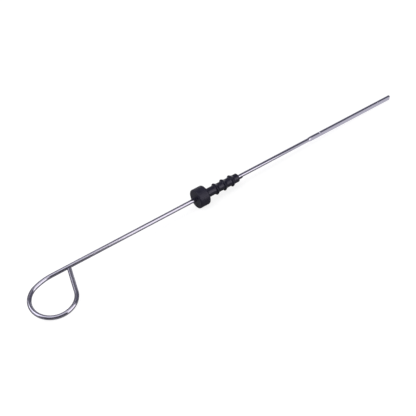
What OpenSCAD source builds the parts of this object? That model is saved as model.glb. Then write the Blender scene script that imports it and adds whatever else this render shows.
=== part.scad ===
// Engine oil dipstick: one drawn steel wire, bent to a finger loop at one end and pressed flat to a
// gauge blade at the other, with a moulded rubber seal on it that closes the dipstick tube.
// It is built straight along its own axis and then laid down the way it comes to rest on a table:
// on the far rim of the seal's head, the tip of the blade and the outer side of the loop.

/* [Wire] */
// Diameter of the drawn wire
wire_d = 3.5; // [3:0.1:4.5]
// Straight length, from the loop's first bend to the tip of the blade
straight_l = 371; // [340:1:460]

/* [Finger loop] */
// Centre line radius of the easy bend that leads into the loop
lead_r = 43; // [36:1:50]
// How far the easy bend turns, in degrees
lead_turn = 21; // [15:1:26]
// Centre line radius of the round of the loop
loop_r = 17.6; // [16:0.1:21]
// How far the wire has turned in all where the round of the loop ends, in degrees
loop_turn = 254; // [246:1:262]
// Gap between the cut end of the loop's leg and the side of the wire
leg_gap = 0.15; // [0.1:0.05:1]
// Bevel on the cut end of the loop's leg
leg_bevel = 0.25; // [0.1:0.05:0.6]

/* [Gauge blade] */
// Length of the pressed flat, its ramp counted in
blade_l = 107.5; // [95:0.5:150]
// Width of the blade over its rounded edges
blade_w = 4.8; // [4.6:0.1:6]
// Thickness of the blade between its flat faces
blade_t = 2.2; // [1.6:0.1:2.6]
// Length of the ramp from the round wire to the flat
ramp_l = 4.6; // [3:0.2:10]
// Rounding of the blade's two corners at the tip
tip_r = 0.6; // [0.3:0.1:1.2]
// Distance from the tip to the upper level notch
upper_mark = 93; // [50:1:96]
// Distance from the tip to the lower level notch
lower_mark = 18; // [8:1:40]
// Depth of a level notch in the blade's edge
notch_depth = 0.45; // [0.2:0.05:0.8]
// Width of a level notch at the blade's edge
notch_w = 1.3; // [0.8:0.1:3]

/* [Seal head] */
// Distance from the loop's first bend to the seal
seal_x = 136.3; // [110:0.5:160]
// Diameter of the seal's head, which is pulled and pushed by hand
head_d = 17.5; // [15:0.5:22]
// Length of the seal's head
head_l = 10.4; // [8:0.2:16]
// Rounding of the head's rim on the loop's side
near_rim_r = 0.8; // [0.4:0.1:1.4]
// Rounding of the head's rim on the blade's side
far_rim_r = 1.6; // [0.6:0.1:2]
// Gap between the seal's bore and the wire, none where the seal is moulded on
bore_gap = 0; // [0:0.02:0.2]

/* [Seal stem] */
// Diameter of the stem between the fins
stem_d = 8; // [7:0.1:9]
// Distance from the head's shoulder to the first fin's crest
neck_l = 10.4; // [6:0.2:16]
// Number of sealing fins
fin_count = 3; // [1:1:6]
// Diameter over the fins' crests
fin_d = 10.6; // [9.8:0.1:12]
// Distance from one fin's crest to the next
fin_pitch = 8.4; // [6:0.1:12]
// Length of a fin's steep back, which faces the head
fin_back = 0.8; // [0.3:0.1:1.4]
// Length of a fin's crest
fin_land = 0.4; // [0.2:0.1:0.8]
// Length of a fin's long front, which leads into the tube
fin_front = 2.2; // [1:0.1:3]
// Distance from the last fin's crest to the end of the stem
nose_l = 7.4; // [5:0.2:12]
// Rounding of the stem's end
nose_r = 0.7; // [0.2:0.1:1.2]
// Rounding where the stem meets the head
root_r = 1.4; // [0.3:0.1:1.6]
// Rounding along the fins' crests and feet
fin_r = 0.25; // [0.1:0.05:0.3]
// Length of the thin tab of rubber that runs on along one side of the wire, past the stem's end
tab_l = 3.6; // [1:0.2:6]
// Thickness of the tab
tab_t = 0.5; // [0.3:0.1:1]
// How far the tab reaches round the wire, in degrees
tab_turn = 90; // [40:5:150]
// Where the middle of the tab is, in degrees round the stick from the side that faces the table
tab_place = -70; // [-180:5:180]

/* [Hidden] */
$fn = 96;

STEEL = [0.70, 0.70, 0.75];
RUBBER = [0.10, 0.10, 0.11];

// Straight steps in a rounded corner of a profile: the least number, and how many more per mm of radius
LEAST_STEPS = 2;
STEPS_PER_MM = 2;
// Margin by which a cutter stands past what it cuts, and the tab reaches into the stem
PAST = 1;
// The loop's stretches of wire meet inside a short band. It stands this little proud of the wire.
BAND_PROUD = 0.02;
// Length of such a band
BAND_L = 0.5;
// Length by which the round of the loop stops short of its two joints, inside those bands
BAND_GAP = 0.05;

wire_r = wire_d / 2;
blade_r = blade_w / 2;
head_r = head_d / 2;
stem_r = stem_d / 2;
bore_r = wire_r + bore_gap;
blade_x = straight_l - blade_l;
shoulder_x = seal_x + head_l;

// Along the seal, from its near face: the first fin's crest, and the stem's end
first_fin = head_l + neck_l;
seal_l = first_fin + (fin_count - 1) * fin_pitch + nose_l;

// End of the easy bend, and the centre of the loop's round, in the plane of the loop
lead_end = [-lead_r * sin(lead_turn), -lead_r * (1 - cos(lead_turn))];
loop_c = lead_end + loop_r * [sin(lead_turn), -cos(lead_turn)];

// End of the round, the way the straight leg runs from there, and its length. The square end's
// nearer corner stops leg_gap short of the wire's side.
leg_start = loop_c + loop_r * [-sin(loop_turn), cos(loop_turn)];
leg_way = [-cos(loop_turn), -sin(loop_turn)];
leg_end_y = -wire_r - leg_gap - wire_r * leg_way[0];
leg_l = (leg_end_y - leg_start[1]) / leg_way[1];

// The rest on a table. The stick's axis dips towards the tip by rest_dip, so that the head's far rim
// and the tip both touch, and the stick rolls by rest_roll, until the loop's outer side touches too.
rim_x = shoulder_x - far_rim_r;
tip_x = straight_l - tip_r;
rim_drop = head_r - far_rim_r;
tip_drop = blade_r - tip_r;
span = tip_x - rim_x;
rest_dip = asin((far_rim_r - tip_r) / norm([span, rim_drop - tip_drop])) + atan2(rim_drop - tip_drop, span);
rest_z = rim_x * sin(rest_dip) + rim_drop * cos(rest_dip) + far_rim_r;
// Height of the loop's centre line over its touching height, if the stick had not rolled
loop_high = rest_z - wire_r - loop_c[0] * sin(rest_dip);
loop_free = pow(loop_high, 2) - pow(loop_r * sin(rest_dip), 2);
loop_root = sqrt(pow(loop_high * loop_c[1], 2) - (pow(loop_c[1], 2) - pow(loop_r, 2)) * loop_free);
rest_roll = asin(loop_free / (loop_root - loop_high * loop_c[1]) / cos(rest_dip));

// Middle of the resting part's outline seen from above, which becomes the origin
loop_reach = norm([cos(rest_dip), sin(rest_roll) * sin(rest_dip)]);
low_x = loop_c[0] * cos(rest_dip) + loop_c[1] * sin(rest_roll) * sin(rest_dip)
    - loop_r * loop_reach - wire_r;
high_x = straight_l * cos(rest_dip) + tip_drop * sin(rest_dip);
low_y = (loop_c[1] - loop_r) * cos(rest_roll) - wire_r;
high_y = head_r;
rest_origin = [(low_x + high_x) / 2, (low_y + high_y) / 2, -rest_z];

// One corner of a closed outline as an arc of the given radius, p being the corner between a and b
function corner(a, p, b, r) =
    let (
        u = (a - p) / norm(a - p),
        v = (b - p) / norm(b - p),
        half = acos(u * v) / 2,
        way = (u + v) / norm(u + v),
        c = p + way * r / sin(half),
        side = (u[0] * v[1] - u[1] * v[0]) > 0 ? 1 : -1,
        first = atan2(-way[1], -way[0]) + side * (90 - half),
        steps = floor(LEAST_STEPS + STEPS_PER_MM * r)
    )
    [for (i = [0 : steps])
        let (angle = first - side * (180 - 2 * half) * i / steps)
        c + r * [cos(angle), sin(angle)]];

// A closed outline from rows of [radius, height, rounding], sharp where the rounding is 0
function outline(rows) =
    let (n = len(rows))
    [for (i = [0 : n - 1])
        let (
            row = rows[i],
            p = [row[0], row[1]],
            before = rows[(i + n - 1) % n],
            after = rows[(i + 1) % n]
        )
        each row[2] > 0
            ? corner([before[0], before[1]], p, [after[0], after[1]], row[2])
            : [p]];

// Lays the straight stick down on the table, tip towards +X
module at_rest() {
    translate(-rest_origin)
        rotate([rest_roll, rest_dip, 0])
            children();
}

// Turns what stands along Z to lie along the stick, from x on
module along_stick(x) {
    translate([x, 0, 0])
        rotate([0, 90, 0])
            children();
}

// A bend of the wire in the plane of the loop, between two amounts of turn
module bend(centre, radius, from, to) {
    translate([centre[0], centre[1], 0])
        rotate([0, 0, 90 + from])
            rotate_extrude(angle = to - from, convexity = 4)
                translate([radius, 0])
                    circle(r = wire_r);
}

// The band over the joint of two stretches of wire, where the wire has turned by the given angle
module joint(place, turn) {
    translate([place[0], place[1], 0])
        rotate([0, 0, turn])
            rotate([0, 90, 0])
                cylinder(h = BAND_L, r = wire_r + BAND_PROUD, center = true);
}

// The finger loop: an easy bend, the round, and the straight leg back to the wire's side
module loop() {
    gap_turn = BAND_GAP / loop_r * 180 / PI;
    bend([0, -lead_r], lead_r, 0, lead_turn);
    joint(lead_end, lead_turn);
    bend(loop_c, loop_r, lead_turn + gap_turn, loop_turn - gap_turn);
    joint(leg_start, loop_turn);
    leg();
}

// The straight leg that closes the loop, with its cut end bevelled
module leg() {
    translate([leg_start[0], leg_start[1], 0])
        rotate([0, 0, atan2(leg_way[1], leg_way[0])])
            rotate([0, 90, 0]) {
                cylinder(h = leg_l - leg_bevel, r = wire_r);
                translate([0, 0, leg_l - leg_bevel])
                    cylinder(h = leg_bevel, r1 = wire_r, r2 = wire_r - leg_bevel);
            }
}

// The round stock of the blade: it widens along the ramp and keeps the blade's width from there on
module blade_stock() {
    along_stick(blade_x) {
        cylinder(h = ramp_l, r1 = wire_r, r2 = blade_r);
        translate([0, 0, ramp_l])
            cylinder(h = blade_l - ramp_l, r = blade_r);
    }
}

// The space between the two press faces, closing along the ramp to the blade's thickness
module press_gap() {
    half_t = blade_t / 2;
    translate([0, 0, -blade_w])
        linear_extrude(height = 2 * blade_w)
            polygon([
                [blade_x - PAST, -blade_w],
                [blade_x, -blade_r],
                [blade_x + ramp_l, -half_t],
                [straight_l + PAST, -half_t],
                [straight_l + PAST, half_t],
                [blade_x + ramp_l, half_t],
                [blade_x, blade_r],
                [blade_x - PAST, blade_w]
            ]);
}

// What is taken off one corner of the tip, above the axis for side 1 and below it for side -1
module tip_corner(side) {
    difference() {
        translate([tip_x, -blade_w, side > 0 ? tip_drop : -tip_drop - tip_r - PAST])
            cube([tip_r + PAST, 2 * blade_w, tip_r + PAST]);
        translate([tip_x, blade_w + PAST, side * tip_drop])
            rotate([90, 0, 0])
                cylinder(h = 2 * (blade_w + PAST), r = tip_r);
    }
}

// A level notch across one edge of the blade
module notch(from_tip, side) {
    slope = notch_w / 2 / notch_depth;
    translate([straight_l - from_tip, blade_t, side * blade_r])
        rotate([90, 0, 0])
            linear_extrude(height = 2 * blade_t)
                polygon([
                    [0, -side * notch_depth],
                    [slope * (notch_depth + PAST), side * PAST],
                    [-slope * (notch_depth + PAST), side * PAST]
                ]);
}

module blade() {
    difference() {
        intersection() {
            blade_stock();
            press_gap();
        }
        for (side = [-1, 1]) {
            tip_corner(side);
            notch(upper_mark, side);
            notch(lower_mark, side);
        }
    }
}

module wire() {
    color(STEEL)
        at_rest() {
            loop();
            along_stick(0)
                cylinder(h = blade_x, r = wire_r);
            blade();
        }
}

// One fin's part of the stem's outline, from the crest's place on, which is z above the near face
function fin_rows(z) = [
    [stem_r, z - fin_land / 2 - fin_back, fin_r],
    [fin_d / 2, z - fin_land / 2, min(fin_r, fin_land / 2)],
    [fin_d / 2, z + fin_land / 2, min(fin_r, fin_land / 2)],
    [stem_r, z + fin_land / 2 + fin_front, fin_r]
];

// The head and the stem with its fins, turned in one
module plug() {
    rotate_extrude(convexity = 6)
        polygon(outline([
            [bore_r, 0, 0],
            [head_r, 0, near_rim_r],
            [head_r, head_l, far_rim_r],
            [stem_r, head_l, root_r],
            for (i = [0 : fin_count - 1])
                each fin_rows(first_fin + i * fin_pitch),
            [stem_r, seal_l, nose_r],
            [bore_r, seal_l, 0]
        ]));
}

// The thin tab past the stem's end, which starts inside the stem and ends in a bevel
module tab() {
    rotate([0, 0, tab_place - tab_turn / 2])
        rotate_extrude(angle = tab_turn, convexity = 2)
            polygon([
                [bore_r, seal_l - PAST],
                [bore_r + tab_t, seal_l - PAST],
                [bore_r + tab_t, seal_l + tab_l - tab_t / 2],
                [bore_r + tab_t / 2, seal_l + tab_l],
                [bore_r, seal_l + tab_l]
            ]);
}

module seal() {
    color(RUBBER)
        at_rest()
            along_stick(seal_x) {
                plug();
                tab();
            }
}

wire();
seal();
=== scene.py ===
"""Engine oil dipstick: one drawn steel wire with a moulded rubber seal on it, lying on a pale floor.

Both pieces are rebuilt here at the CAD model's own sizes, as finer meshes that carry values for their
materials. The film before the head, the parting line and the bore mouth's rounding are only here, the
tab past the stem is a little longer and thicker than the solid's, and the notch nearest the tip has
steeper sides. Sizes are in millimetres along the straight stick, x from the loop's first bend to the
tip, y away from the loop and z across the loop's plane. Everything is then laid down into the row
frame, in metres, the way the part rests on a table.
"""

import math

import bpy
import numpy as np
from mathutils import Matrix, Vector


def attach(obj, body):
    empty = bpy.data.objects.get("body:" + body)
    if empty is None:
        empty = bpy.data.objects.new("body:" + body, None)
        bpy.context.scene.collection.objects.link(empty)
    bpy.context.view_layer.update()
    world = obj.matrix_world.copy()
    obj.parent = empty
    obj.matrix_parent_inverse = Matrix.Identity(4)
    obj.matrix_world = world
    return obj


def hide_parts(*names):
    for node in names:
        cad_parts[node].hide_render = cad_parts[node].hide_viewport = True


MM = 0.001

# Wire, the points round it, and the angle from which its edges are sharp
WIRE_R = 1.75
STRAIGHT_L = 371.0
WIRE_AROUND = 64
WIRE_SHARP = math.radians(32.0)

# Finger loop: an easy bend, the round, and the straight leg back to the wire's side
LEAD_R = 43.0
LEAD_TURN = math.radians(21.0)
LOOP_R = 17.6
LOOP_TURN = math.radians(254.0)
LEG_GAP = 0.15
LEG_BEVEL = 0.25
# Rings of points on each stretch of the wire
LEG_RINGS = 10
LOOP_RINGS = 84
LEAD_RINGS = 16
ROD_RINGS = 40
RAMP_RINGS = 16
BLADE_RINGS = 24
# The place along the straight stick that stands for the loop and its leg
OFF_STICK = -1.0

# Gauge blade
BLADE_X = STRAIGHT_L - 107.5
BLADE_R = 2.4
BLADE_HALF_T = 1.1
RAMP_L = 4.6
TIP_R = 0.6
# Level marks: place from the tip, and how steep the notch's sides are against a plain V
MARKS = ((93.0, 1.0), (18.0, 2.8))
NOTCH_DEPTH = 0.45
NOTCH_W = 1.3
TIP_BEVEL = 0.12
# How softly the pressed faces turn into the blade's round edges
PRESS_SOFT = 0.05
# The least distance between two rings of points along the stick
CLOSEST_RINGS = 0.012

# Seal, the points round it, the angle from which its edges are sharp, and the longest steps of its
# outline on the outside and at its two ends
SEAL_AROUND = 72
SEAL_SHARP = math.radians(50.0)
OUTLINE_STEP = 1.2
END_STEP = 0.6
SEAL_X = 136.3
HEAD_R = 8.75
HEAD_L = 10.4
NEAR_RIM_R = 0.8
FAR_RIM_R = 1.6
STEM_R = 4.0
NECK_L = 10.4
FIN_COUNT = 3
FIN_TOP_R = 5.3
FIN_PITCH = 8.4
FIN_BACK = 0.8
FIN_LAND = 0.4
FIN_FRONT = 2.2
FIN_ROUND = 0.25
NOSE_L = 7.4
NOSE_R = 0.7
ROOT_R = 1.4
# Thin tab past the stem's end, on one side of the wire
TAB_L = 4.4
TAB_T = 0.8
TAB_THIN = 0.12
TAB_FOOT_R = 0.15
TAB_MIDDLE = math.radians(250.0)
TAB_HALF = math.radians(45.0)
TAB_EDGE = math.radians(0.8)
# Thin film of rubber that bled along the wire's upper side, before the head
FILM_L = 5.6
FILM_T = 0.14
FILM_MIDDLE = math.radians(365.0)
FILM_HALF = math.radians(56.0)
# Small rounding of the bore's mouth
MOUTH_R = 0.25
# The mould's parting line along both sides: its ridge, and the ridge's form from side to side as
# shares of half its width and of its height
FLASH_H = 0.07
FLASH_W = 0.3
FLASH_TURN = math.radians(28.0)
FLASH_ACROSS = (-1.0, -0.5, 0.0, 0.5, 1.0)
FLASH_RISE = (0.0, 0.6, 1.0, 0.6, 0.0)

# Steel: colours of its streaks, patches and pressed faces, and roughness
STEEL_DARK = (0.385, 0.37, 0.455)
STEEL_BRIGHT = (0.475, 0.46, 0.55)
STEEL_PATCH = (0.41, 0.394, 0.48)
STEEL_PRESSED = (0.49, 0.472, 0.57)
PRESSED_SHARE = 0.25
STEEL_ROUGHNESS = (0.07, 0.13)
PATCH_ROUGHNESS = 0.05
PRESSED_ROUGHNESS = 0.05
# How much the wire's length is shrunk for its streaks, scratches and patches, so that they run long
STREAK_SHRINK = (0.02, 1.0, 1.0)
SCRATCH_SHRINK = (0.012, 1.0, 1.0)
PATCH_SHRINK = (0.3, 1.0, 1.0)

# Rubber: colours of its bloom, roughness, and how much the stem's shine lowers that roughness
RUBBER_DARK = (0.0128, 0.0121, 0.025)
RUBBER_BLOOM = (0.0188, 0.0177, 0.0335)
RUBBER_ROUGHNESS = (0.36, 0.46)
GRAIN_ROUGHNESS = (-0.04, 0.06)
RUBBED_ROUGHNESS = -0.15
RUBBER_GLOSS = 0.42
RUBBER_GLOSS_TINT = (0.84, 0.81, 1.0, 1.0)

# Camera, fitted to the photograph in the stick's own frame
PHOTO_HALF = 208
PHOTO_FOCAL = 700
CAMERA_AZ = math.radians(-127.10)
CAMERA_EL = math.radians(47.48)
CAMERA_ROLL = math.radians(0.79)
CAMERA_AWAY = 587.1
CAMERA_TARGET = Vector((139.0, -14.1, 0.0))

# Studio, in metres: the round sweep, and dark cards between two bearings (0 is -Y, 90 is +X)
SWEEP_R = 3.0
SWEEP_H = 1.2
COVE_R = 0.5
SWEEP_STEPS = 72
FLOOR_Z = -0.00002
# The floor's matt colour, the light it adds for the lens, how much more of it far away, and the two
# distances between which that grows
FLOOR_COLOUR = (0.28, 0.28, 0.285, 1.0)
FLOOR_LIFT = 0.84
FLOOR_FAR_LIFT = 0.12
FLOOR_FAR = (0.08, 0.4)
# How strongly reflections see that light, a painted shade that dims the floor in reflections on the
# left of the object, as if less light fell there: left and right of the object, with the places along
# x where one turns into the other, and far away, with the distances
METAL_LEFT = 0.12
METAL_RIGHT = 1.0
METAL_ACROSS = (0.04, 0.09)
METAL_FAR = 0.18
METAL_AWAY = (0.5, 2.6)
# The floor's own shine in reflections
FLOOR_IOR = 1.6
FLOOR_ROUGHNESS = 0.2
# Cards: name, radius, first and last bearing in degrees, height and grey
CARDS = (
    ("card_lens", 1.2, -66.0, 12.0, 0.60, 0.08),
    ("card_right", 0.52, 53.0, 112.0, 1.10, 0.32),
)
CARD_STEPS = 12
CARD_BLUE = 1.25
CARD_ROUGHNESS = 0.9
# Surroundings, and soft boxes: name, place, aim, width, height, radiance and colour
WORLD_COLOUR = (0.95, 0.95, 1.02, 1.0)
WORLD_LEVEL = 0.29
WHITE = (1.0, 1.0, 1.0)
WARM = (1.0, 0.97, 0.915)
BOXES = (
    ("box_left", (-0.97, 0.25, 1.26), (-0.18, 0.0, 0.0), 1.1, 1.0, 1.85, WHITE),
    ("box_left_low", (-1.28, 0.22, 0.50), (-0.18, 0.0, 0.0), 0.75, 0.5, 0.6, WHITE),
    ("strip_back", (-0.552, 0.562, 0.731), (-0.18, -0.01, 0.0), 0.12, 0.56, 1.1, WHITE),
    ("box_top", (-0.24, -0.2125, 1.10), (-0.24, -0.2125, 0.0), 0.87, 0.925, 1.15, WHITE),
    ("wall_right", (0.201, -0.595, 0.49), (-0.799, -0.515, 0.49), 0.67, 0.98, 1.65, WARM),
)

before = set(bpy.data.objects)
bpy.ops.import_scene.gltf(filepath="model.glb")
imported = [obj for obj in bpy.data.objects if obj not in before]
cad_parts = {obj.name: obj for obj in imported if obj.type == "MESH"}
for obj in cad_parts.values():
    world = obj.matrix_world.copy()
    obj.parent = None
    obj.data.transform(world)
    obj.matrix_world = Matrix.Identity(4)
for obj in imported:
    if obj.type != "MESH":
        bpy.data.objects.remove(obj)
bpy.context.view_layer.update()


def lead_point(turn):
    """Point of the wire's centre line in the easy bend, where it has turned this much."""
    return np.array([-LEAD_R * math.sin(turn), -LEAD_R * (1 - math.cos(turn))])


LOOP_C = lead_point(LEAD_TURN) + LOOP_R * np.array([math.sin(LEAD_TURN), -math.cos(LEAD_TURN)])


def loop_point(turn):
    """Point of the wire's centre line in the round of the loop."""
    return LOOP_C + LOOP_R * np.array([-math.sin(turn), math.cos(turn)])


def resting():
    """The turn and move that lay the stick on the table, in millimetres: the dip towards the tip lets
    the head's far rim and the tip both touch, and the roll brings the loop's outer side down."""
    rim_x = SEAL_X + HEAD_L - FAR_RIM_R
    rim_drop = HEAD_R - FAR_RIM_R
    tip_drop = BLADE_R - TIP_R
    span = STRAIGHT_L - TIP_R - rim_x
    dip = math.asin((FAR_RIM_R - TIP_R) / math.hypot(span, rim_drop - tip_drop))
    dip += math.atan2(rim_drop - tip_drop, span)
    height = rim_x * math.sin(dip) + rim_drop * math.cos(dip) + FAR_RIM_R
    high = height - WIRE_R - LOOP_C[0] * math.sin(dip)
    free = high ** 2 - (LOOP_R * math.sin(dip)) ** 2
    root = math.sqrt((high * LOOP_C[1]) ** 2 - (LOOP_C[1] ** 2 - LOOP_R ** 2) * free)
    roll = math.asin(free / (root - high * LOOP_C[1]) / math.cos(dip))
    reach = math.hypot(math.cos(dip), math.sin(roll) * math.sin(dip))
    low_x = (LOOP_C[0] * math.cos(dip) + LOOP_C[1] * math.sin(roll) * math.sin(dip)
             - LOOP_R * reach - WIRE_R)
    high_x = STRAIGHT_L * math.cos(dip) + tip_drop * math.sin(dip)
    low_y = (LOOP_C[1] - LOOP_R) * math.cos(roll) - WIRE_R
    move = Vector((-(low_x + high_x) / 2, -(low_y + HEAD_R) / 2, height))
    return Matrix.Translation(move) @ Matrix.Rotation(dip, 4, "Y") @ Matrix.Rotation(roll, 4, "X")


TO_ROW = Matrix.Scale(MM, 4) @ resting()


def smooth_step(value):
    """A share from 0 to 1 that starts and ends gently."""
    value = np.clip(value, 0.0, 1.0)
    return value * value * (3 - 2 * value)


def soft_min(a, b, soft):
    """The lower of two lengths, with the corner between them rounded off."""
    return -soft * np.logaddexp(-a / soft, -b / soft)


def new_piece(name, points, faces, material, sharp_angle):
    """A mesh piece from points in millimetres in the stick's frame, laid into the row frame."""
    mesh = bpy.data.meshes.new(name)
    mesh.from_pydata([TO_ROW @ Vector(p) for p in points], [], faces)
    mesh.validate()
    mesh.shade_smooth()
    mesh.set_sharp_from_angle(angle=sharp_angle)
    piece = bpy.data.objects.new(name, mesh)
    bpy.context.scene.collection.objects.link(piece)
    mesh.materials.append(material)
    return piece


def ring_faces(rings, around):
    """Quads between rings of points, each closed round the axis."""
    faces = []
    for i in range(rings - 1):
        for k in range(around):
            after = (k + 1) % around
            low = i * around
            high = low + around
            faces.append((low + k, high + k, high + after, low + after))
    return faces


def cap_faces(first, around):
    """Strips that close a ring of points which starts at angle 0 and is the same on both sides."""
    strips = [(first, first + 1, first + around - 1)]
    for k in range(1, around // 2 - 1):
        strips.append((first + k, first + k + 1, first + around - k - 1, first + around - k))
    strips.append((first + around // 2 - 1, first + around // 2, first + around // 2 + 1))
    return strips


# Nodes of the materials

def new_material(name):
    """A material with an emptied node tree, its tree and its shader, wired to the output."""
    material = bpy.data.materials.new(name)
    material.use_nodes = True
    tree = material.node_tree
    tree.nodes.clear()
    shader = tree.nodes.new("ShaderNodeBsdfPrincipled")
    output = tree.nodes.new("ShaderNodeOutputMaterial")
    tree.links.new(shader.outputs["BSDF"], output.inputs["Surface"])
    return material, tree, shader


def stretched(tree, source, scale):
    """Coordinates scaled by a different amount along each axis."""
    node = tree.nodes.new("ShaderNodeMapping")
    node.inputs["Scale"].default_value = scale
    tree.links.new(source, node.inputs["Vector"])
    return node.outputs["Vector"]


def noise(tree, source, scale, detail, roughness):
    """Noise from 0 to 1 at this scale, in waves per metre."""
    node = tree.nodes.new("ShaderNodeTexNoise")
    node.inputs["Scale"].default_value = scale
    node.inputs["Detail"].default_value = detail
    node.inputs["Roughness"].default_value = roughness
    tree.links.new(source, node.inputs["Vector"])
    return node.outputs["Fac"]


def spread(tree, source, low, high, to_low=0.0, to_high=1.0):
    """Maps a value from one range to another and clamps it."""
    node = tree.nodes.new("ShaderNodeMapRange")
    node.inputs["From Min"].default_value = low
    node.inputs["From Max"].default_value = high
    node.inputs["To Min"].default_value = to_low
    node.inputs["To Max"].default_value = to_high
    tree.links.new(source, node.inputs["Value"])
    return node.outputs["Result"]


def blended(tree, factor, first, second):
    """A colour between two, each a colour or another node's output."""
    node = tree.nodes.new("ShaderNodeMix")
    node.data_type = "RGBA"
    tree.links.new(factor, node.inputs["Factor"])
    for socket, colour in (("A", first), ("B", second)):
        target = next(s for s in node.inputs if s.name == socket and s.type == "RGBA")
        if isinstance(colour, bpy.types.NodeSocket):
            tree.links.new(colour, target)
        else:
            target.default_value = (*colour, 1.0)
    return next(s for s in node.outputs if s.type == "RGBA")


def combined(tree, operation, first, second):
    """Arithmetic on two values, each a number or another node's output."""
    node = tree.nodes.new("ShaderNodeMath")
    node.operation = operation
    for socket, value in zip(node.inputs, (first, second)):
        if isinstance(value, bpy.types.NodeSocket):
            tree.links.new(value, socket)
        else:
            socket.default_value = value
    return node.outputs["Value"]


def bumped(tree, height, distance, strength, below=None):
    """A bump that stands on another one's normal."""
    node = tree.nodes.new("ShaderNodeBump")
    node.inputs["Distance"].default_value = distance
    node.inputs["Strength"].default_value = strength
    tree.links.new(height, node.inputs["Height"])
    if below is not None:
        tree.links.new(below, node.inputs["Normal"])
    return node.outputs["Normal"]


def attribute(tree, name):
    """The node that reads a value stored at the mesh's points."""
    node = tree.nodes.new("ShaderNodeAttribute")
    node.attribute_name = name
    return node


def drawn_steel():
    """Bright drawn wire: streaks and fine die scratches that follow it round the bends, and a
    slightly paler and duller face where it was pressed."""
    material, tree, shader = new_material("drawn_steel")
    along = attribute(tree, "along_wire").outputs["Vector"]
    pressed = attribute(tree, "pressed").outputs["Fac"]
    streaks = noise(tree, stretched(tree, along, STREAK_SHRINK), 2600.0, 4.0, 0.6)
    scratches = noise(tree, stretched(tree, along, SCRATCH_SHRINK), 9000.0, 2.0, 0.7)
    patches = noise(tree, stretched(tree, along, PATCH_SHRINK), 260.0, 3.0, 0.55)
    pits = noise(tree, along, 5200.0, 2.0, 0.6)
    toned = blended(tree, spread(tree, streaks, 0.3, 0.7), STEEL_DARK, STEEL_BRIGHT)
    toned = blended(tree, spread(tree, patches, 0.35, 0.75), toned, STEEL_PATCH)
    toned = blended(tree, spread(tree, pressed, 0.0, 1.0, 0.0, PRESSED_SHARE), toned, STEEL_PRESSED)
    tree.links.new(toned, shader.inputs["Base Color"])
    rough = spread(tree, streaks, 0.3, 0.7, *STEEL_ROUGHNESS)
    rough = combined(tree, "ADD", rough, spread(tree, patches, 0.3, 0.7, 0.0, PATCH_ROUGHNESS))
    rough = combined(tree, "ADD", rough, spread(tree, pressed, 0.0, 1.0, 0.0, PRESSED_ROUGHNESS))
    tree.links.new(rough, shader.inputs["Roughness"])
    normal = bumped(tree, streaks, 0.00002, 0.22)
    normal = bumped(tree, scratches, 0.00001, 0.2, normal)
    normal = bumped(tree, pits, 0.000012, 0.12, normal)
    tree.links.new(normal, shader.inputs["Normal"])
    shader.inputs["Metallic"].default_value = 1.0
    return material


def moulded_rubber():
    """Half-matt black rubber with a faint blue bloom, mould grain and slow waves in the surface. The
    stem and its fins are shinier than the head, as where they rub in the tube."""
    material, tree, shader = new_material("moulded_rubber")
    place = tree.nodes.new("ShaderNodeTexCoord").outputs["Object"]
    bloom = noise(tree, place, 150.0, 4.0, 0.6)
    grain = noise(tree, place, 3800.0, 3.0, 0.65)
    waves = noise(tree, place, 420.0, 2.0, 0.5)
    colour = blended(tree, spread(tree, bloom, 0.35, 0.7), RUBBER_DARK, RUBBER_BLOOM)
    tree.links.new(colour, shader.inputs["Base Color"])
    rough = spread(tree, bloom, 0.3, 0.7, *RUBBER_ROUGHNESS)
    rough = combined(tree, "ADD", rough, spread(tree, grain, 0.3, 0.7, *GRAIN_ROUGHNESS))
    rubbed = attribute(tree, "rubbed").outputs["Fac"]
    rough = combined(tree, "ADD", rough, spread(tree, rubbed, 0.0, 1.0, 0.0, RUBBED_ROUGHNESS))
    tree.links.new(rough, shader.inputs["Roughness"])
    shader.inputs["Specular IOR Level"].default_value = RUBBER_GLOSS
    shader.inputs["Specular Tint"].default_value = RUBBER_GLOSS_TINT
    normal = bumped(tree, waves, 0.00025, 0.25)
    normal = bumped(tree, grain, 0.00004, 0.5, normal)
    tree.links.new(normal, shader.inputs["Normal"])
    return material


# The wire

def stations():
    """The wire's rings from the leg's cut end to the tip: (centre x, centre y, turn, travel, x on the
    straight stick, inset). The inset shrinks the section for a bevel."""
    leg_way = np.array([-math.cos(LOOP_TURN), -math.sin(LOOP_TURN)])
    leg_start = loop_point(LOOP_TURN)
    leg_l = (-WIRE_R - LEG_GAP - WIRE_R * leg_way[0] - leg_start[1]) / leg_way[1]
    leg = [(leg_l, LEG_BEVEL), (leg_l - LEG_BEVEL * 0.3, LEG_BEVEL * 0.3), (leg_l - LEG_BEVEL, 0.0)]
    leg += [(left, 0.0) for left in np.linspace(leg_l - LEG_BEVEL - 0.6, 0.0, LEG_RINGS)]
    rings = []
    for left, inset in leg:
        rings.append((*(leg_start + leg_way * left), LOOP_TURN, leg_l - left, OFF_STICK, inset))
    travel = leg_l
    for turn in np.linspace(LOOP_TURN, LEAD_TURN, LOOP_RINGS)[1:]:
        rings.append((*loop_point(turn), turn, travel + (LOOP_TURN - turn) * LOOP_R, OFF_STICK, 0.0))
    travel += (LOOP_TURN - LEAD_TURN) * LOOP_R
    for turn in np.linspace(LEAD_TURN, 0.0, LEAD_RINGS)[1:]:
        rings.append((*lead_point(turn), turn, travel + (LEAD_TURN - turn) * LEAD_R, OFF_STICK, 0.0))
    travel += LEAD_TURN * LEAD_R
    for x in straight_places():
        inset = max(0.0, x - (STRAIGHT_L - TIP_BEVEL))
        rings.append((x, 0.0, 0.0, travel + x, x, inset))
    return rings


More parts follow.
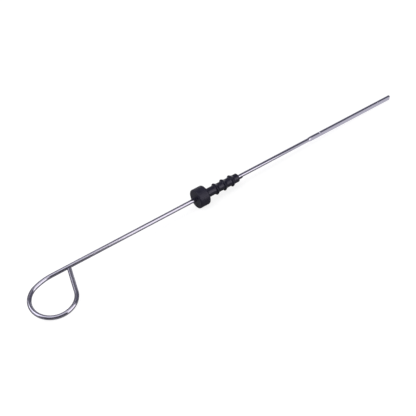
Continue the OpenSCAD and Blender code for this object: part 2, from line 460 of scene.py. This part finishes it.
def straight_places():
    """Places along the straight stick that need a ring of points. A notch has its own outside it, at
    its mouth, halfway and all the way down its sides, and at its middle."""
    places = list(np.linspace(0.0, BLADE_X - 0.5, ROD_RINGS)[1:])
    places += list(np.linspace(BLADE_X, BLADE_X + RAMP_L + 1.0, RAMP_RINGS))
    places += list(np.linspace(BLADE_X + RAMP_L + 2.0, STRAIGHT_L - TIP_R - 1.0, BLADE_RINGS))
    for mark, steep in MARKS:
        middle = STRAIGHT_L - mark
        for share in (1.6, 1.1, 1.0, 1.0 - 0.5 / steep, 1.0 - 1.0 / steep, 0.25):
            places += [middle - NOTCH_W / 2 * share, middle + NOTCH_W / 2 * share]
        places.append(middle)
    places += [STRAIGHT_L - TIP_R * (1 - math.sin(math.radians(a))) for a in range(0, 90, 10)]
    places += [STRAIGHT_L - TIP_BEVEL, STRAIGHT_L]
    apart = [0.0]
    for place in sorted(places):
        if place > apart[-1] + CLOSEST_RINGS:
            apart.append(place)
    apart[-1] = STRAIGHT_L
    return apart[1:]


def section(x, inset, angles):
    """The wire's section at x on the straight stick, a plain round before the blade. The inset makes
    it smaller all round."""
    ramp = smooth_step((x - BLADE_X) / RAMP_L)
    radius = WIRE_R + (BLADE_R - WIRE_R) * ramp
    y = radius * np.sin(angles)
    z = radius * np.cos(angles)
    if x > BLADE_X:
        half_t = radius + (BLADE_HALF_T - radius) * ramp
        y = np.sign(y) * soft_min(np.abs(y), half_t, PRESS_SOFT * ramp + 1e-6)
    top = BLADE_R
    for mark, steep in MARKS:
        off = abs(x - (STRAIGHT_L - mark)) / (NOTCH_W / 2)
        top = min(top, BLADE_R - NOTCH_DEPTH * min(1.0, steep * max(0.0, 1.0 - off)))
    past = x - (STRAIGHT_L - TIP_R)
    if past > 0:
        top = min(top, BLADE_R - TIP_R + math.sqrt(max(0.0, TIP_R ** 2 - past ** 2)))
    z = np.clip(z, -top, top)
    size = np.hypot(y, z)
    shrink = (size - inset) / size
    return y * shrink, z * shrink


def wire_piece(material):
    """The whole wire as one closed skin, with its own length and its pressed faces for the steel."""
    angles = np.arange(WIRE_AROUND) * 2 * math.pi / WIRE_AROUND
    points = []
    along = []
    pressed = []
    rings = stations()
    for cx, cy, turn, travel, x, inset in rings:
        y, z = section(x, inset, angles)
        sideways = np.array([-math.sin(turn), math.cos(turn)])
        for dy, dz in zip(y, z):
            points.append((cx + sideways[0] * dy, cy + sideways[1] * dy, dz))
            along.append((travel * MM, dy * MM, dz * MM))
            pressed.append(float(smooth_step((x - BLADE_X) / RAMP_L)))
    faces = ring_faces(len(rings), WIRE_AROUND)
    faces += cap_faces(0, WIRE_AROUND)
    tip = (len(rings) - 1) * WIRE_AROUND
    faces += [tuple(reversed(face)) for face in cap_faces(tip, WIRE_AROUND)]
    piece = new_piece("wire_drawn", points, faces, material, WIRE_SHARP)
    places = piece.data.attributes.new("along_wire", "FLOAT_VECTOR", "POINT")
    places.data.foreach_set("vector", np.array(along, np.float32).ravel())
    flat = piece.data.attributes.new("pressed", "FLOAT", "POINT")
    flat.data.foreach_set("value", np.array(pressed, np.float32))
    return piece


# The seal

def corner(before, point, after, radius, steps):
    """An arc that rounds off one corner of an outline."""
    a, p, b = (np.array(v, float) for v in (before, point, after))
    u = (a - p) / np.linalg.norm(a - p)
    v = (b - p) / np.linalg.norm(b - p)
    half = math.acos(float(np.clip(u @ v, -1.0, 1.0))) / 2
    way = (u + v) / np.linalg.norm(u + v)
    centre = p + way * radius / math.sin(half)
    side = 1 if u[0] * v[1] - u[1] * v[0] > 0 else -1
    first = math.atan2(-way[1], -way[0]) + side * (math.pi / 2 - half)
    arc = first - side * (math.pi - 2 * half) * np.linspace(0.0, 1.0, steps + 1)
    return [centre + radius * np.array([math.cos(t), math.sin(t)]) for t in arc]


def seal_outline():
    """The seal's outline from inside the bore's near mouth round the outside to its far mouth, as
    pairs of (radius, place along the seal): plain, and with the film before the head or the tab past
    the stem's end."""
    rows = [(HEAD_R, 0.0, NEAR_RIM_R), (HEAD_R, HEAD_L, FAR_RIM_R), (STEM_R, HEAD_L, ROOT_R)]
    for i in range(FIN_COUNT):
        crest = HEAD_L + NECK_L + i * FIN_PITCH
        land = FIN_LAND / 2
        rows += [(STEM_R, crest - land - FIN_BACK, FIN_ROUND), (FIN_TOP_R, crest - land, land)]
        rows += [(FIN_TOP_R, crest + land, land), (STEM_R, crest + land + FIN_FRONT, FIN_ROUND)]
    length = HEAD_L + NECK_L + (FIN_COUNT - 1) * FIN_PITCH + NOSE_L
    rows += [(STEM_R, length, NOSE_R)]
    near = seal_end(0.0, FILM_L, FILM_T, 0.0)
    far = seal_end(length, TAB_L, TAB_T, TAB_THIN)
    first = near[0][0]
    last = far[0][0]
    between = finer([first] + rounded([first] + rows + [last]) + [last], OUTLINE_STEP)[1:-1]
    return near[::-1] + [(row, row) for row in between] + far


def seal_end(face, reach, thick, thinner):
    """One end of the seal from its flat face into the bore, plain and with rubber that runs on along
    the wire, as pairs of (radius, place along the seal)."""
    way = 1.0 if face > 0 else -1.0
    foot = (WIRE_R + thick + TAB_FOOT_R * 2, face)
    inside = (WIRE_R, face - way * MOUTH_R * 3)
    top = face + way * reach
    plain = [foot] + rounded([foot, (WIRE_R, face, MOUTH_R), inside]) + [inside]
    long = rounded([foot, (WIRE_R + thick, face, TAB_FOOT_R), (WIRE_R + thick - thinner, top, thick / 2),
                    (WIRE_R, top, thick / 10), inside])
    long = finer([foot] + long + [inside], END_STEP)
    return list(zip(evenly(plain, len(long)), long))


def rounded(rows):
    """The rounded corners between the first and the last row of (radius, place, rounding)."""
    line = []
    for before, row, after in zip(rows, rows[1:], rows[2:]):
        line += corner(before[:2], row[:2], after[:2], row[2], max(4, int(6 * row[2]) + 3))
    return line


def evenly(line, count):
    """The same outline with this many points, spread evenly along it."""
    line = np.array([np.array(p, float) for p in line])
    travel = np.concatenate(([0.0], np.cumsum(np.linalg.norm(np.diff(line, axis=0), axis=1))))
    places = np.linspace(0.0, travel[-1], count)
    radii = np.interp(places, travel, line[:, 0])
    lengths = np.interp(places, travel, line[:, 1])
    return list(np.column_stack((radii, lengths)))


def finer(line, most):
    """The same outline with no step longer than the given length."""
    line = [np.array(p, float) for p in line]
    dense = [line[0]]
    for a, b in zip(line, line[1:]):
        parts = max(1, math.ceil(np.linalg.norm(b - a) / most))
        dense += [a + (b - a) * (k + 1) / parts for k in range(parts)]
    return dense


def off_middle(turn, middle):
    """The angle between two bearings round the wire."""
    return abs((turn - middle + math.pi) % (2 * math.pi) - math.pi)


def tab_share(turn):
    """How much of the tab's length stands at a bearing: all of it, or none past a narrow edge."""
    return min(max((TAB_HALF + TAB_EDGE - off_middle(turn, TAB_MIDDLE)) / (2 * TAB_EDGE), 0.0), 1.0)


def film_share(turn):
    """How much of the film's length stands at a bearing, so that it ends as a rounded tongue."""
    return math.sqrt(max(0.0, 1.0 - (off_middle(turn, FILM_MIDDLE) / FILM_HALF) ** 2))


def seal_piece(material):
    """The seal as one closed skin round its axis, with the parting line's thin ridge on both sides,
    the film before the head and the tab on one side of the far end."""
    shares = [k * 2 / SEAL_AROUND for k in range(1, SEAL_AROUND // 2)]
    for edge in (TAB_MIDDLE - TAB_HALF, TAB_MIDDLE + TAB_HALF):
        share = (edge - FLASH_TURN) / math.pi % 1.0
        shares += [share - TAB_EDGE / math.pi, share + TAB_EDGE / math.pi]
    shares = sorted(set(round(share, 6) for share in shares if 0.0 < share < 1.0))
    per_ring = 2 * (len(FLASH_ACROSS) + len(shares))
    points = []
    rubbed = []
    line = seal_outline()
    for plain, long in line:
        on_stem = plain[1] > HEAD_L and plain[0] < FIN_TOP_R + 1.0
        rubbed += [float(on_stem)] * per_ring
        outside = plain[0] > WIRE_R + TAB_T + TAB_FOOT_R
        reach = FLASH_W / 2 / plain[0]
        for seam in (FLASH_TURN, FLASH_TURN + math.pi):
            turns = [(seam + reach * across, rise) for across, rise in zip(FLASH_ACROSS, FLASH_RISE)]
            turns += [(seam + math.pi * share, 0.0) for share in shares]
            for turn, rise in turns:
                share = tab_share(turn) if long[1] > HEAD_L else film_share(turn)
                radius, place = plain + (long - plain) * share
                radius += FLASH_H * rise if outside else 0.0
                points.append((SEAL_X + place, radius * math.sin(turn), radius * math.cos(turn)))
    faces = ring_faces(len(line), per_ring)
    last = (len(line) - 1) * per_ring
    faces += [(last + k, k, (k + 1) % per_ring, last + (k + 1) % per_ring) for k in range(per_ring)]
    piece = new_piece("seal_moulded", points, faces, material, SEAL_SHARP)
    shine = piece.data.attributes.new("rubbed", "FLOAT", "POINT")
    shine.data.foreach_set("value", np.array(rubbed, np.float32))
    return piece


# Studio

def soft_box(name, place, aim, width, height, radiance, colour):
    """A soft box in metres that faces a point. The lens doesn't see it, but reflections do."""
    light = bpy.data.lights.new(name, "AREA")
    light.shape = "RECTANGLE"
    light.size = width
    light.size_y = height
    light.energy = radiance * math.pi * width * height
    light.color = colour
    lamp = bpy.data.objects.new(name, light)
    lamp.location = place
    lamp.rotation_euler = (Vector(place) - Vector(aim)).to_track_quat("Z", "Y").to_euler()
    lamp.visible_camera = False
    bpy.context.scene.collection.objects.link(lamp)


def turned(name, outline, first, last, steps, material):
    """A stage surface: an outline of (radius, height) in metres, turned from one bearing to another."""
    points = []
    for bearing in np.linspace(first, last, steps + 1):
        points += [(math.sin(bearing) * r, -math.cos(bearing) * r, z) for r, z in outline]
    rows = len(outline)
    faces = []
    for i in range(steps):
        here = i * rows
        after = here + rows
        faces += [(here + k, here + k + 1, after + k + 1, after + k) for k in range(rows - 1)]
    mesh = bpy.data.meshes.new(name)
    mesh.from_pydata(points, [], faces)
    mesh.validate()
    mesh.shade_smooth()
    mesh.materials.append(material)
    piece = bpy.data.objects.new(name, mesh)
    bpy.context.scene.collection.objects.link(piece)
    return piece


def pale(name):
    """Matt floor that the lens sees as white, a little more so away from the object, and that takes a
    shadow. Reflections see that white too, less of it on the left as a painted shade of less light
    there, and the floor's own shine."""
    material = bpy.data.materials.new(name)
    material.use_nodes = True
    tree = material.node_tree
    tree.nodes.clear()
    place = tree.nodes.new("ShaderNodeTexCoord").outputs["Object"]
    away = tree.nodes.new("ShaderNodeVectorMath")
    away.operation = "LENGTH"
    tree.links.new(place, away.inputs[0])
    away = away.outputs["Value"]
    across = tree.nodes.new("ShaderNodeSeparateXYZ")
    tree.links.new(place, across.inputs["Vector"])
    path = tree.nodes.new("ShaderNodeLightPath")
    bounced = combined(
        tree, "MAXIMUM", path.outputs["Is Glossy Ray"], path.outputs["Is Transmission Ray"])
    # Painted shade: reflections see the floor's light dimmed left of the object, as if less light fell
    # there
    near = spread(tree, across.outputs["X"], *METAL_ACROSS, METAL_LEFT, METAL_RIGHT)
    share = combined(tree, "MAXIMUM", near, spread(tree, away, *METAL_AWAY, 0.0, METAL_FAR))
    mirrored = combined(tree, "MULTIPLY", bounced, share)
    seen = combined(tree, "MAXIMUM", path.outputs["Is Camera Ray"], mirrored)
    level = spread(tree, away, *FLOOR_FAR, FLOOR_LIFT, FLOOR_LIFT + FLOOR_FAR_LIFT)
    lift = tree.nodes.new("ShaderNodeEmission")
    tree.links.new(combined(tree, "MULTIPLY", seen, level), lift.inputs["Strength"])
    matt = tree.nodes.new("ShaderNodeBsdfDiffuse")
    matt.inputs["Color"].default_value = FLOOR_COLOUR
    lifted = tree.nodes.new("ShaderNodeAddShader")
    tree.links.new(matt.outputs["BSDF"], lifted.inputs[0])
    tree.links.new(lift.outputs["Emission"], lifted.inputs[1])
    shine = tree.nodes.new("ShaderNodeBsdfGlossy")
    shine.inputs["Roughness"].default_value = FLOOR_ROUGHNESS
    edge = tree.nodes.new("ShaderNodeFresnel")
    edge.inputs["IOR"].default_value = FLOOR_IOR
    both = tree.nodes.new("ShaderNodeMixShader")
    tree.links.new(combined(tree, "MULTIPLY", bounced, edge.outputs["Fac"]), both.inputs["Fac"])
    tree.links.new(lifted.outputs["Shader"], both.inputs[1])
    tree.links.new(shine.outputs["BSDF"], both.inputs[2])
    output = tree.nodes.new("ShaderNodeOutputMaterial")
    tree.links.new(both.outputs["Shader"], output.inputs["Surface"])
    return material


def grey_card(name, grey):
    """A plain card's material, a little blue."""
    material, _, shader = new_material(name)
    shader.inputs["Base Color"].default_value = (grey, grey, grey * CARD_BLUE, 1.0)
    shader.inputs["Roughness"].default_value = CARD_ROUGHNESS
    return material


def studio():
    """A round pale sweep, even surroundings, soft boxes to the left, behind and above, a bright wall
    to the right of the lens, and darker cards that only reflections see."""
    scene = bpy.context.scene
    world = bpy.data.worlds.new("studio")
    world.use_nodes = True
    scene.world = world
    background = world.node_tree.nodes["Background"]
    background.inputs["Color"].default_value = WORLD_COLOUR
    background.inputs["Strength"].default_value = WORLD_LEVEL
    for box in BOXES:
        soft_box(*box)
    cove = [(SWEEP_R - COVE_R + COVE_R * math.sin(a), COVE_R * (1 - math.cos(a)))
            for a in np.linspace(0.0, math.pi / 2, 9)]
    sweep = [(0.0, FLOOR_Z)] + [(r, z + FLOOR_Z) for r, z in cove] + [(SWEEP_R, SWEEP_H)]
    turned("floor", sweep, 0.0, 2 * math.pi, SWEEP_STEPS, pale("pale_floor"))
    for name, radius, first, last, height, grey in CARDS:
        outline = [(radius, 0.0), (radius, height)]
        bearings = (math.radians(first), math.radians(last))
        card = turned(name, outline, *bearings, CARD_STEPS, grey_card(name, grey))
        card.visible_camera = False
        card.visible_diffuse = False
        card.visible_shadow = False


def camera():
    """The photograph's view, worked out in the stick's frame and turned into the row frame."""
    level = math.cos(CAMERA_EL)
    back = Vector((level * math.cos(CAMERA_AZ), level * math.sin(CAMERA_AZ), math.sin(CAMERA_EL)))
    right = (-back).cross(Vector((0, 0, 1))).normalized()
    up = right.cross(-back)
    right_rolled = math.cos(CAMERA_ROLL) * right + math.sin(CAMERA_ROLL) * up
    up_rolled = -math.sin(CAMERA_ROLL) * right + math.cos(CAMERA_ROLL) * up
    turn = resting().to_3x3()
    place = TO_ROW @ (CAMERA_TARGET + CAMERA_AWAY * back)
    axes = Matrix([turn @ right_rolled, turn @ up_rolled, turn @ back]).transposed()
    data = bpy.data.cameras.new("camera")
    data.sensor_fit = "HORIZONTAL"
    data.angle = 2 * math.atan(PHOTO_HALF / PHOTO_FOCAL)
    data.clip_start = 0.01
    eye = bpy.data.objects.new("camera", data)
    eye.matrix_world = Matrix.Translation(place) @ axes.to_4x4()
    bpy.context.scene.collection.objects.link(eye)
    bpy.context.scene.camera = eye


wire = wire_piece(drawn_steel())
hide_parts("wire")
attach(wire, "root")

seal = seal_piece(moulded_rubber())
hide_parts("seal")
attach(seal, "root")

studio()
camera()
bpy.context.scene.view_settings.view_transform = "Standard"
